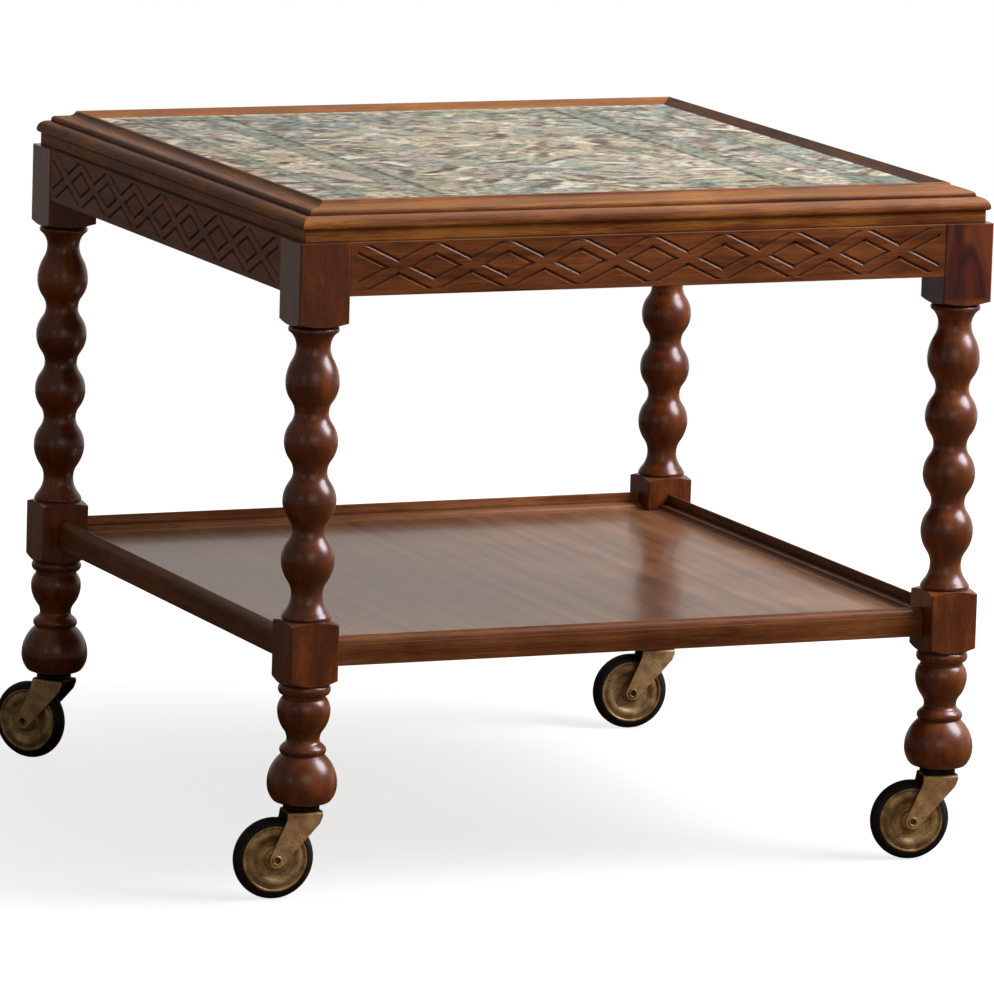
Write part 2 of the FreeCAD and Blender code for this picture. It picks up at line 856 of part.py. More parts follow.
def make_table():
    """Every piece by name, about the middle of the table's plan."""
    pieces = {}
    leg = make_leg()
    for i, corner in enumerate(corners):
        pieces["leg_" + corner] = quarter_turn(leg, i)
    around = {"apron": make_apron(), "top_frame": make_frame_piece(), "shelf_rail": make_rail()}
    for name, shape in around.items():
        for i, where in enumerate(sides):
            pieces[name + "_" + where] = quarter_turn(shape, i)
    pieces["top_board"] = make_top_board()
    pieces["woven_panel"] = make_cloth()
    pieces["shelf_board"] = make_shelf_board()
    pieces["fixing_blocks"] = four_ways(front_blocks())
    pieces["fixing_screws"] = four_ways(front_screws(0))
    pieces["apron_dowels"] = four_ways(both_ends(apron_end_dowels(dowel_radius, 0)))
    pieces["rail_dowels"] = four_ways(both_ends(rail_end_dowels(dowel_radius, 0)))
    washer = make_washer()
    pieces["castor_washers"] = Part.makeCompound([under_leg(washer, c) for c in corners])
    castor = {"castor_socket": make_socket(), "castor_stem": make_stem(),
              "castor_fork": make_fork(), "castor_axle": make_axle(),
              "wheel_bush": make_bush(), "wheel_tyre": make_tyre(),
              "wheel_face_near": make_disc(-1), "wheel_face_far": make_disc(1)}
    for name, shape in castor.items():
        for corner in corners:
            pieces[name + "_" + corner] = under_leg(shape, corner)
    return pieces


def main():
    pieces = make_table()
    box = Part.makeCompound(list(pieces.values())).optimalBoundingBox(False)
    shift = Vector(-box.Center.x, -box.Center.y, -box.ZMin)
    os.makedirs("parts", exist_ok=True)
    for name, shape in pieces.items():
        shape.translate(shift)
        shape.exportStep(os.path.join("parts", name + ".step"))
    print("size", [round(v, 2) for v in (box.XLength, box.YLength, box.ZLength)])
    print("middle of the plan", [round(v, 3) for v in (shift.x, shift.y, shift.z)])
    print("top of the cloth", round(board_level + cloth_thickness + shift.z, 3))
    print("top of the shelf", round(rail_level + shelf_thickness + shift.z, 3))
    for corner in corners:
        swivel = under_leg(Part.Vertex(0, 0, fork_top), corner).Point + shift
        axle = under_leg(Part.Vertex(castor_trail, 0, wheel_radius), corner).Point + shift
        print(corner, "swivel", [round(v, 3) for v in swivel],
              "axle", [round(v, 3) for v in axle])


main()
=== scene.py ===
import math

import bpy
import numpy as np
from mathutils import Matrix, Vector


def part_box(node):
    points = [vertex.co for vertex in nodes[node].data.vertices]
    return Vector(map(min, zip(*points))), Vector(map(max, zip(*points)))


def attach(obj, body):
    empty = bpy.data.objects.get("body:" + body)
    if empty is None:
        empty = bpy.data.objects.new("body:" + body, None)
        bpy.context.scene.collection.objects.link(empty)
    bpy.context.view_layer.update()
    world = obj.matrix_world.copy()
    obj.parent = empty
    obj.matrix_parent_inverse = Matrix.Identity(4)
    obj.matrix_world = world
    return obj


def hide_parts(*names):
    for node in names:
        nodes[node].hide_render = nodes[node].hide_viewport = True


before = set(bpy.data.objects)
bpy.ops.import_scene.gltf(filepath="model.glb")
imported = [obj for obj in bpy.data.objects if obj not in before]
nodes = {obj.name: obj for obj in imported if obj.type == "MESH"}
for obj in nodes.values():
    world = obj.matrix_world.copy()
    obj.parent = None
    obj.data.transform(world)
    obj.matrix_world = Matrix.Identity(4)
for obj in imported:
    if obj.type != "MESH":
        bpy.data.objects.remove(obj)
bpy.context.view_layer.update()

mm = 0.001
corners = ["front_left", "front_right", "back_right", "back_left"]
print("frame loaded:", len(nodes), "nodes")

# The middle of the table's plan: the castors stand out more on one side than the other
panelLow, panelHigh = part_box("woven_panel")
planMiddle = (panelLow + panelHigh) / 2
planMiddle.z = 0


# Small helpers for the materials

def hexColour(text):
    # sRGB hex to linear
    values = [int(text[i:i + 2], 16) / 255 for i in (1, 3, 5)]
    linear = [v / 12.92 if v <= 0.04045 else ((v + 0.055) / 1.055) ** 2.4 for v in values]
    return (*linear, 1.0)


def addNode(tree, kind, settings=None, links=None):
    # a setting is an input, a property or a ramp's stops; a link goes from an output to an input
    node = tree.nodes.new(kind)
    for key, value in (settings or {}).items():
        if key == "stops":
            elements = node.color_ramp.elements
            while len(elements) < len(value):
                elements.new(0.5)
            for element, (place, colour) in zip(elements, value):
                element.position = place
                element.color = hexColour(colour)
        elif isinstance(key, int) or key in node.inputs:
            node.inputs[key].default_value = value
        else:
            setattr(node, key, value)
    for key, socket in (links or {}).items():
        tree.links.new(socket, node.inputs[key])
    return node


def newMaterial(name):
    material = bpy.data.materials.new(name)
    material.use_nodes = True
    material.node_tree.nodes.clear()
    return material, material.node_tree


def dress(names, material):
    for name in names:
        piece = nodes[name]
        piece.data.materials.clear()
        piece.data.materials.append(material)


# Wood: stained hardwood under an old shellac. The stain sits darker in the open grain, the
# polish gives a soft wide shine, and the arrises are paler, partly from handling wear and partly as a
# painted highlight

woodGrain = {
    "ringWidth": 8.0,        # mm, growth rings across the board
    "alongShare": 0.05,      # how much slower the figure changes along the grain
    "fibreWidth": 1.0,       # mm, drawn a little coarse so that it shows
    "poreWidth": 0.8,        # mm, also drawn coarse
    "poreTone": "#5a3c2c",
    "cloudSize": 75.0,       # mm, slow changes in the stain
    "arrisRadius": 0.9,         # mm, the rounded arris, paler from wear and a painted highlight
    # the arrises' paler tone: handling wear and a painted highlight
    "arrisWearAndHighlightTone": "#a9754a",
    # the tone of the painted light on the faces that look up
    "topLightTone": "#b98652",
    "cornerReach": 3.0,      # mm, how far the painted shade and grime reach from a corner
    "cornerShadeAndGrime": 0.85,     # how much of the dark tone of painted shade and grime a deep corner takes
    # the dark tone of the painted shade and grime, in corners and inside the forks
    "shadeAndGrimeTone": "#241208",
    "fibreRelief": 0.05,     # mm
}


def makeWood(name, axis, stain, roughness=0.42, seed=0.0, ringWidth=None, coat=0.2,
             coatRoughness=0.22, poreDepth=0.5, arrisWearAndHighlightShare=0.45, alongShare=None,
             shine=0.3, topLightShare=0.0, unevenPolish=1.0, figure=None):
    material, tree = newMaterial(name)
    ringWidth = ringWidth or woodGrain["ringWidth"]
    stretch = [1.0, 1.0, 1.0]
    stretch["XYZ".index(axis)] = alongShare or woodGrain["alongShare"]
    place = addNode(tree, "ShaderNodeTexCoord").outputs["Object"]
    grain = addNode(tree, "ShaderNodeMapping",
                    {"Location": (0.31 * seed, 0.17 * seed, 0.23 * seed), "Scale": stretch},
                    {"Vector": place}).outputs["Vector"]
    rings = addNode(tree, "ShaderNodeTexNoise",
                    {"Scale": 1 / (ringWidth * mm), "Detail": 3.0, "Roughness": 0.5,
                     "Distortion": 0.3}, {"Vector": grain}).outputs["Fac"]
    fibres = addNode(tree, "ShaderNodeTexNoise",
                     {"Scale": 1 / (woodGrain["fibreWidth"] * mm), "Detail": 2.0,
                      "Roughness": 0.6}, {"Vector": grain}).outputs["Fac"]
    clouds = addNode(tree, "ShaderNodeTexNoise",
                     {"Scale": 1 / (woodGrain["cloudSize"] * mm), "Detail": 3.0},
                     {"Vector": place}).outputs["Fac"]
    poreNoise = addNode(tree, "ShaderNodeTexNoise",
                        {"Scale": 1 / (woodGrain["poreWidth"] * mm), "Detail": 0.0},
                        {"Vector": grain}).outputs["Fac"]
    pores = addNode(tree, "ShaderNodeMapRange",
                    {"From Min": 0.66, "From Max": 0.76, "To Min": 0.0, "To Max": poreDepth},
                    {"Value": poreNoise}).outputs["Result"]
    # rings, fibres and clouds added up, then read on the stain's ramp
    streak = addNode(tree, "ShaderNodeMath", {"operation": "MULTIPLY_ADD", 1: 0.25},
                     {0: fibres, 2: addNode(tree, "ShaderNodeMath",
                                            {"operation": "MULTIPLY", 1: 0.45},
                                            {0: rings}).outputs[0]}).outputs[0]
    streak = addNode(tree, "ShaderNodeMath", {"operation": "MULTIPLY_ADD", 1: 0.3},
                     {0: clouds, 2: streak}).outputs[0]
    colour = addNode(tree, "ShaderNodeValToRGB",
                     {"stops": [(0.38, stain[0]), (0.5, stain[1]), (0.62, stain[2])]},
                     {"Fac": streak}).outputs["Color"]
    if figure:
        # above one height the grain swirls and took the stain darker
        flowing = addNode(tree, "ShaderNodeMapping", {"Scale": (1.0, 1.0, figure["upShare"])},
                          {"Vector": place}).outputs["Vector"]
        swirl = addNode(tree, "ShaderNodeTexNoise",
                        {"Scale": 1 / (figure["size"] * mm), "Detail": 1.0,
                         "Distortion": 1.3}, {"Vector": flowing}).outputs["Fac"]
        wild = addNode(tree, "ShaderNodeValToRGB", {"stops": figure["stops"]},
                       {"Fac": swirl}).outputs["Color"]
        height = addNode(tree, "ShaderNodeSeparateXYZ", links={0: place}).outputs["Z"]
        above = addNode(tree, "ShaderNodeMapRange",
                        {"From Min": figure["from"],
                         "From Max": figure["from"] + figure["fade"] * mm},
                        {"Value": height}).outputs["Result"]
        colour = addNode(tree, "ShaderNodeMix", {"data_type": "RGBA"},
                         {0: above, 6: colour, 7: wild}).outputs[2]
    colour = addNode(tree, "ShaderNodeMix",
                     {"data_type": "RGBA", "blend_type": "MULTIPLY", 7: hexColour(woodGrain["poreTone"])},
                     {0: pores, 6: colour}).outputs[2]
    # the arris: where the rounded normal leaves the flat one, the colour is paler, partly wear and partly
    # a painted highlight
    rounded = addNode(tree, "ShaderNodeBevel", {"samples": 6, "Radius": woodGrain["arrisRadius"] * mm})
    flat = addNode(tree, "ShaderNodeNewGeometry").outputs["Normal"]
    turn = addNode(tree, "ShaderNodeVectorMath", {"operation": "DOT_PRODUCT"},
                   {0: rounded.outputs[0], 1: flat}).outputs["Value"]
    worn = addNode(tree, "ShaderNodeMapRange",
                   {"From Min": 0.985, "From Max": 0.86, "To Min": 0.0, "To Max": arrisWearAndHighlightShare},
                   {"Value": turn}).outputs["Result"]
    colour = addNode(tree, "ShaderNodeMix", {"data_type": "RGBA", 7: hexColour(woodGrain["arrisWearAndHighlightTone"])},
                     {0: worn, 6: colour}).outputs[2]
    # painted light: the faces that look up are made paler, as if lit from above
    upward = addNode(tree, "ShaderNodeSeparateXYZ", links={0: flat}).outputs["Z"]
    topLightMask = addNode(tree, "ShaderNodeMapRange",
                     {"From Min": 0.45, "From Max": 1.0, "To Max": topLightShare},
                     {"Value": upward}).outputs["Result"]
    colour = addNode(tree, "ShaderNodeMix",
                     {"data_type": "RGBA", 7: hexColour(woodGrain["topLightTone"])},
                     {0: topLightMask, 6: colour}).outputs[2]
    # painted shade: darker in the grooves and the inner corners, where wax and dust have also gathered
    corner = addNode(tree, "ShaderNodeAmbientOcclusion",
                     {"samples": 6, "Distance": woodGrain["cornerReach"] * mm}).outputs["AO"]
    shadeAndGrime = addNode(tree, "ShaderNodeMapRange",
                    {"From Min": 0.9, "From Max": 0.5, "To Max": woodGrain["cornerShadeAndGrime"]},
                    {"Value": corner}).outputs["Result"]
    colour = addNode(tree, "ShaderNodeMix",
                     {"data_type": "RGBA", 7: hexColour(woodGrain["shadeAndGrimeTone"])},
                     {0: shadeAndGrime, 6: colour}).outputs[2]
    rough = addNode(tree, "ShaderNodeMapRange",
                    {"From Min": 0.3, "From Max": 0.7,
                     "To Min": roughness - 0.06 * unevenPolish,
                     "To Max": roughness + 0.08 * unevenPolish},
                    {"Value": clouds}).outputs["Result"]
    relief = addNode(tree, "ShaderNodeMath", {"operation": "MULTIPLY_ADD", 1: -0.8},
                     {0: pores, 2: fibres}).outputs[0]
    bump = addNode(tree, "ShaderNodeBump",
                   {"Strength": 0.2, "Distance": woodGrain["fibreRelief"] * mm},
                   {"Height": relief, "Normal": rounded.outputs[0]}).outputs["Normal"]
    shader = addNode(tree, "ShaderNodeBsdfPrincipled",
                     {"Coat Weight": coat, "Coat Roughness": coatRoughness, "IOR": 1.45,
                      "Specular IOR Level": shine},
                     {"Base Color": colour, "Roughness": rough, "Normal": bump})
    addNode(tree, "ShaderNodeOutputMaterial", links={"Surface": shader.outputs[0]})
    return material


# each stain: in the open grain, between, and where it took least
stains = {
    "leg": ("#512205", "#672e06", "#85450d"),
    "apron": ("#572a0d", "#79411a", "#945726"),
    "frame": ("#4e240c", "#83481b", "#b4772f"),
    "rail": ("#532a10", "#76431e", "#935b2f"),
    "shelf": ("#5f3a24", "#845838", "#a0724b"),
    "bare": ("#8a6a45", "#a58155", "#c2a072"),
    # a darker copy of the frame stain, as painted shade on the right-hand frame and rail
    "shadedFrame": ("#3a1c0c", "#5e371b", "#815328"),
    # a paler copy of the rail stain, as painted light on the back rail
    "litRail": ("#70401e", "#955f38", "#b07a4c"),
}
# the block at the top of one leg has a swirling, redder figure
blockUnderApron = 22.0       # mm, how far the block reaches below the apron
swirlingBlock = {
    "from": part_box("apron_front")[0].z - blockUnderApron * mm,
    "fade": 4.0,             # mm
    "size": 34.0,            # mm
    "upShare": 0.4,          # how much slower it changes up the leg
    "stops": [(0.32, "#7a3910"), (0.43, "#4f1909"), (0.54, "#360b05"), (0.72, "#5c220b")],
}

for number, corner in enumerate(corners):
    wood = makeWood("stained beech turned " + corner, "Z", stains["leg"], seed=number + 1.0,
                    poreDepth=0.1, arrisWearAndHighlightShare=0.25, alongShare=0.2, ringWidth=10.0,
                    coat=1.0, coatRoughness=0.27, shine=0.2, topLightShare=0.15,
                    figure=swirlingBlock if corner == "front_right" else None)
    dress(["leg_" + corner], wood)

# moulded pieces: their names, the grain's direction, the stain, how much painted light the upper faces
# take and how far the arrises are made pale by wear and a painted highlight
mouldings = [
    (("apron_front", "apron_back"), "X", "apron", 0.5, 0.15),
    (("apron_left", "apron_right"), "Y", "apron", 0.4, 0.15),
    (("top_frame_front", "top_frame_back"), "X", "frame", 0.45, 0.45),
    (("top_frame_left",), "Y", "frame", 0.0, 0.45),
    # the right-hand frame takes the darker stain copy as painted shade
    (("top_frame_right",), "Y", "shadedFrame", 0.0, 0.3),
    (("shelf_rail_front",), "X", "rail", 0.2, 0.45),
    # the back rail takes the paler stain copy as painted light
    (("shelf_rail_back",), "X", "litRail", 0.2, 0.45),
    (("shelf_rail_left",), "Y", "rail", 0.2, 0.45),
    # the right-hand rail takes the darker stain copy as painted shade
    (("shelf_rail_right",), "Y", "shadedFrame", 0.2, 0.45),
]
for number, (names, axis, stain, topLightShare, arrisWearAndHighlightShare) in enumerate(mouldings):
    dress(names, makeWood("stained beech moulded " + names[0], axis, stains[stain],
                          seed=number + 5.0, roughness=0.48, coat=0.2, shine=0.2,
                          topLightShare=topLightShare, arrisWearAndHighlightShare=arrisWearAndHighlightShare))
dress(["shelf_board"], makeWood("polished mahogany veneer", "Y", stains["shelf"], seed=13.0,
                                roughness=0.285, unevenPolish=0.1, ringWidth=14.0,
                                coat=0.33, coatRoughness=0.12, poreDepth=0.2, shine=0.4))
dress(["top_board", "fixing_blocks", "apron_dowels", "rail_dowels"],
      makeWood("bare planed pine", "X", stains["bare"], roughness=0.6, seed=14.0, coat=0.0))
print("wood done")


# Castor metal: pressed steel under a thin brass plating, gone dull, with brown specks where
# the plating has worn through; inside the fork it is painted near-black, as painted shade and grime

platingWear = {
    "cloudSize": 11.0,       # mm
    "speckSize": 1.8,        # mm
    "relief": 0.05,          # mm
    "halfDarkWidth": 12.2,       # mm from a fork's middle plane to where the painted shade and grime stop
    "shadeAndGrimeEdge": 0.4,        # mm
    # near-black inside the fork: painted shade and grime
    "shadeAndGrimeTone": "#17110c",
}


def makePlating(name, bright, dull, speck, roughness, swivel=None, angle=0.0):
    material, tree = newMaterial(name)
    place = addNode(tree, "ShaderNodeTexCoord").outputs["Object"]
    cloud = addNode(tree, "ShaderNodeTexNoise",
                    {"Scale": 1 / (platingWear["cloudSize"] * mm), "Detail": 4.0},
                    {"Vector": place}).outputs["Fac"]
    spots = addNode(tree, "ShaderNodeTexNoise",
                    {"Scale": 1 / (platingWear["speckSize"] * mm), "Detail": 3.0},
                    {"Vector": place}).outputs["Fac"]
    colour = addNode(tree, "ShaderNodeValToRGB", {"stops": [(0.38, dull), (0.64, bright)]},
                     {"Fac": cloud}).outputs["Color"]
    spotted = addNode(tree, "ShaderNodeMapRange",
                      {"From Min": 0.56, "From Max": 0.7, "To Max": 0.8},
                      {"Value": spots}).outputs["Result"]
    colour = addNode(tree, "ShaderNodeMix", {"data_type": "RGBA", 7: hexColour(speck)},
                     {0: spotted, 6: colour}).outputs[2]
    if swivel:
        # distance from the fork's middle plane: painted shade and grime near-black inside, plating on the
        # two outer faces
        local = addNode(tree, "ShaderNodeMapping",
                        {"vector_type": "TEXTURE", "Location": swivel,
                         "Rotation": (0, 0, angle)}, {"Vector": place}).outputs["Vector"]
        across = addNode(tree, "ShaderNodeSeparateXYZ", links={0: local}).outputs["Y"]
        across = addNode(tree, "ShaderNodeMath", {"operation": "ABSOLUTE"}, {0: across})
        darkReach = platingWear["halfDarkWidth"]
        edge = platingWear["shadeAndGrimeEdge"]
        shadeAndGrime = addNode(tree, "ShaderNodeMapRange",
                        {"From Min": (darkReach - edge) * mm, "From Max": (darkReach + edge) * mm,
                         "To Min": 0.88, "To Max": 0.0}, {"Value": across.outputs[0]})
        colour = addNode(tree, "ShaderNodeMix",
                         {"data_type": "RGBA", 7: hexColour(platingWear["shadeAndGrimeTone"])},
                         {0: shadeAndGrime.outputs["Result"], 6: colour}).outputs[2]
    metal = addNode(tree, "ShaderNodeMapRange", {"To Min": 0.75, "To Max": 0.3},
                    {"Value": spotted}).outputs["Result"]
    rough = addNode(tree, "ShaderNodeMapRange",
                    {"To Min": roughness, "To Max": roughness + 0.2},
                    {"Value": spots}).outputs["Result"]
    bump = addNode(tree, "ShaderNodeBump",
                   {"Strength": 0.25, "Distance": platingWear["relief"] * mm},
                   {"Height": spots}).outputs["Normal"]
    shader = addNode(tree, "ShaderNodeBsdfPrincipled", {},
                     {"Base Color": colour, "Metallic": metal, "Roughness": rough,
                      "Normal": bump})
    addNode(tree, "ShaderNodeOutputMaterial", links={"Surface": shader.outputs[0]})
    return material


wheelPlating = makePlating("tarnished brass plating", "#d1b37e", "#957c54", "#5e3c20", 0.45)
# near-black plating, used on the washers, stems and sockets
nearBlackPlating = makePlating("near-black plating", "#2c241c", "#17120e", "#0f0c09", 0.55)
steel = makePlating("bare steel", "#9a9894", "#777571", "#514a43", 0.35)


# Tyre: solid moulded rubber, dull black with a little floor dust

tyreRubber = {
    "black": "#0c0a09",
    "dusty": "#1f1917",
    "dustSize": 6.0,         # mm
    "relief": 0.1,           # mm
}


def makeRubber():
    material, tree = newMaterial("moulded black rubber")
    place = addNode(tree, "ShaderNodeTexCoord").outputs["Object"]
    dust = addNode(tree, "ShaderNodeTexNoise",
                   {"Scale": 1 / (tyreRubber["dustSize"] * mm), "Detail": 5.0},
                   {"Vector": place}).outputs["Fac"]
    colour = addNode(tree, "ShaderNodeValToRGB",
                     {"stops": [(0.4, tyreRubber["black"]), (0.72, tyreRubber["dusty"])]},
                     {"Fac": dust}).outputs["Color"]
    rough = addNode(tree, "ShaderNodeMapRange", {"To Min": 0.5, "To Max": 0.75},
                    {"Value": dust}).outputs["Result"]
    bump = addNode(tree, "ShaderNodeBump",
                   {"Strength": 0.2, "Distance": tyreRubber["relief"] * mm},
                   {"Height": dust}).outputs["Normal"]
    shader = addNode(tree, "ShaderNodeBsdfPrincipled", {"Specular IOR Level": 0.3},
                     {"Base Color": colour, "Roughness": rough, "Normal": bump})
    addNode(tree, "ShaderNodeOutputMaterial", links={"Surface": shader.outputs[0]})
    return material


rubber = makeRubber()
dress(["castor_washers"], nearBlackPlating)
dress(["fixing_screws"], steel)
for corner in corners:
    # the fork trails from the swivel towards the axle
    swivel = sum(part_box("castor_stem_" + corner), Vector()) / 2
    trail = sum(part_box("castor_axle_" + corner), Vector()) / 2 - swivel
    plating = makePlating("worn brass plating " + corner, "#eac790", "#c09b69", "#68432a", 0.42,
                          swivel=(swivel.x, swivel.y, 0), angle=math.atan2(trail.y, trail.x))
    dress(["castor_fork_" + corner], plating)
    dress(["castor_axle_" + corner, "wheel_face_near_" + corner, "wheel_face_far_" + corner],
          wheelPlating)
    dress(["castor_stem_" + corner, "castor_socket_" + corner], nearBlackPlating)
    dress(["wheel_bush_" + corner], steel)
    dress(["wheel_tyre_" + corner], rubber)
print("metal and rubber done")


# Tapestry: wool weft beaten down over a cotton warp, woven as foliage and small flowers
# inside a ruled border; it lies on the board, under the frame's inner edge

tapestry = {
    "stitch": 1.9,          # mm between the points that carry the colour
    "seed": 21,
    "sideBorder": 92.0,     # mm from the left and right edges to the inner band
    "bandWidth": 26.0,      # mm
    "outerLine": 30.0,      # mm from the left and right edges
    "lineWidth": 2.2,       # mm
    "leaves": 1500,
    "flowers": 300,
    "stemDots": 150,
    "hachure": 2.6,         # mm, how far neighbouring passes of the weft reach past each other
    "contrast": 0.4,        # how much the pale wool is lifted over the dark
    "unevenness": 0.1,      # of the wool's lightness from stitch to stitch
    "fuzzSize": 1.4,        # mm
    "relief": 0.4,          # mm
}
weftColours = {
    "cream": "#d9d4ba", "sand": "#c0b89c", "olive": "#9c9d7f", "moss": "#8a9a80",
    "teal": "#9bb19c", "slate": "#8a989b", "sky": "#a6b4b3", "rose": "#c9b6a4",
    "brick": "#9c8771", "bark": "#857963", "dusk": "#5a574b", "straw": "#c2b893",
    "mist": "#aeb6a1",
}


def paintTapestry(cloth, x, y, reach):
    # cloth holds a linear colour for each stitch, x and y its place in mm from the middle
    rng = np.random.default_rng(tapestry["seed"])
    wool = {name: np.array(hexColour(text)[:3]) for name, text in weftColours.items()}
    pitch = x[1, 0] - x[0, 0]

    def patchAt(cx, cy, size):
        low = [max(0, int((c - size + reach) / pitch)) for c in (cx, cy)]
        high = [int((c + size + reach) / pitch) + 2 for c in (cx, cy)]
        part = (slice(low[0], max(high[0], 0)), slice(low[1], max(high[1], 0)))
        return cloth[part], x[part] - cx, y[part] - cy

    def leaf(cx, cy, length, width, angle, light, shade, rib):
        patch, dx, dy = patchAt(cx, cy, length / 2)
        along = dx * math.cos(angle) + dy * math.sin(angle)
        across = dy * math.cos(angle) - dx * math.sin(angle)
        across = across + 0.12 * along * np.sin(along * 6.28 / length)
        edge = width / 2 * (1 - (2 * along / length) ** 2)
        patch[(across > 0) & (across < edge)] = light
        patch[(across <= 0) & (-across < edge)] = shade
        patch[(abs(across) < 1.0) & (edge > 2.0)] = rib

    def flower(cx, cy, size, petals, turn, petal, shadow, heart):
        patch, dx, dy = patchAt(cx, cy, size + 2)
        distance = np.hypot(dx, dy)
        edge = size * (0.74 + 0.26 * np.cos(petals * (np.arctan2(dy, dx) - turn)))
        patch[distance < edge + 2.0] = shadow
        patch[distance < edge] = petal
        patch[distance < 0.3 * size] = heart

    def pick(names):
        return wool[names[rng.integers(len(names))]] * rng.uniform(0.88, 1.1)

    # the ground, in broad patches; the two ends are greener than the middle
    ground = ["sand", "bark", "olive", "bark", "sand", "dusk"]
    endGround = ["moss", "olive", "teal", "dusk", "moss", "bark"]
    patches = rng.random((18, 36))
    fromX = (x + reach) / (2 * reach) * 16.9
    fromY = (y + reach) / (2 * reach) * 34.9
    choice = (patches[fromX.astype(int), fromY.astype(int)] * len(ground)).astype(int)
    nearEnd = abs(y) > 0.74 * reach
    for number in range(len(ground)):
        cloth[(choice == number) & ~nearEnd] = wool[ground[number]]
        cloth[(choice == number) & nearEnd] = wool[endGround[number]]

    # foliage, laid from the oldest leaf to the newest
    lights = ["cream", "cream", "sand", "mist", "straw", "cream", "sand", "rose"]
    shades = ["olive", "bark", "sand", "brick", "mist", "moss", "sand"]
    endLights = ["teal", "mist", "cream", "sky", "teal", "straw"]
    endShades = ["moss", "slate", "olive", "moss", "bark"]
    for number in range(tapestry["leaves"]):
        cx, cy = rng.uniform(-reach, reach, 2)
        flow = 1.3 * math.sin(cx / 61) + 1.1 * math.cos(cy / 53)
        angle = flow + rng.normal(0, 0.5)
        length = rng.uniform(26, 62)
        atEnd = abs(cy) > rng.normal(0.74, 0.08) * reach
        light = pick(endLights if atEnd else lights)
        shade = pick(endShades if atEnd else shades)
        leaf(cx, cy, length, length * rng.uniform(0.35, 0.6), angle, light, shade, shade * 0.75)
    petals = ["rose", "rose", "cream", "cream", "sky", "slate", "brick"]
    hearts = ["straw", "brick", "cream"]
    for number in range(tapestry["flowers"]):
        cx, cy = rng.uniform(-reach, reach, 2)
        flower(cx, cy, rng.uniform(6, 13), rng.integers(4, 8), rng.uniform(0, 6), pick(petals),
               wool["bark"] * 0.8, pick(hearts))

    # the border: on each side a band of speckled grey green between two pairs of dark lines
    width = tapestry["lineWidth"]
    fromSide = reach - abs(x)
    start = tapestry["sideBorder"]
    band = (fromSide > start) & (fromSide < start + tapestry["bandWidth"])
    speckle = rng.random(x.shape)
    cloth[band] = 0.4 * cloth[band] + 0.6 * wool["moss"] * 1.15
    cloth[band & (speckle < 0.33)] = wool["mist"] * 0.95
    cloth[band & (speckle > 0.86)] = wool["dusk"]
    for line in (start, start + tapestry["bandWidth"] - width):
        cloth[(fromSide > line) & (fromSide < line + width)] = wool["dusk"] * 0.8
    outer = tapestry["outerLine"]
    strip = (fromSide > outer) & (fromSide < outer + 5 * width)
    cloth[strip] = 0.4 * cloth[strip] + 0.6 * wool["teal"] * 0.8
    for line in (outer, outer + 5 * width):
        cloth[(fromSide > line) & (fromSide < line + width)] = wool["dusk"]

    # pale rosettes along the side bands, and dotted sprigs
    for sx in (-1, 1):
        for step in (-0.82, -0.3, 0.3, 0.82):
            cx = sx * (reach - start + 22)
            cy = step * reach
            flower(cx, cy, 19, 8, 0.2, wool["cream"], wool["bark"], wool["rose"])
            flower(cx, cy, 10, 8, 0.6, wool["rose"], wool["brick"], wool["straw"])
    for number in range(tapestry["stemDots"]):
        cx, cy = rng.uniform(-reach, reach, 2)
        if abs(cy) < 0.8 * reach and rng.random() < 0.6:
            continue
        patch, dx, dy = patchAt(cx, cy, 15)
        dots = (np.sin(dx * 1.25) > 0.2) & (np.sin(dy * 1.1 + dx / 9) > 0.1)
        patch[dots & (np.hypot(dx, dy * 1.6) < 15)] = wool["cream"] * 1.12
    edge = (abs(y) > reach - 9) & (np.sin(x * 1.25) > 0.0)
    cloth[edge] = wool["cream"] * 1.05

    # the dye lots differ: broad patches lean to rose, to blue or to green
    lean = np.sin(x / 47 + 1.3 * np.sin(y / 71)) + np.sin(y / 39 + 0.9 * np.sin(x / 58) + 1.0)
    cloth *= np.stack([1 + 0.035 * lean, 1 + 0.008 * lean, 1 - 0.022 * lean], axis=2)

    # single passes of a paler or darker wool run through the shapes as short dashes
    dashes = rng.random((x.shape[0] // 3 + 1, x.shape[1])).repeat(3, axis=0)[:x.shape[0]]
    cloth[dashes > 0.78] = 0.6 * cloth[dashes > 0.78] + 0.4 * wool["cream"]
    cloth[dashes < 0.15] *= 0.78

    # neighbouring passes of the weft reach past each other by a few millimetres
    reachPast = rng.normal(0, tapestry["hachure"] / pitch / 2, cloth.shape[1])
    for row in range(cloth.shape[1]):
        shift = int(round(np.clip(reachPast[row], -1, 1)))
        cloth[:, row] = np.roll(cloth[:, row], shift, axis=0)
    soft = cloth.copy()
    soft[1:-1] = 0.25 * cloth[:-2] + 0.5 * cloth[1:-1] + 0.25 * cloth[2:]
    cloth[:] = soft
    lightness = cloth.mean(axis=2, keepdims=True)
    cloth *= (lightness / lightness.mean()) ** tapestry["contrast"]
    cloth *= 1 + tapestry["unevenness"] * rng.normal(0, 1, x.shape)[..., None]
    return np.clip(cloth, 0.0, 1.0)


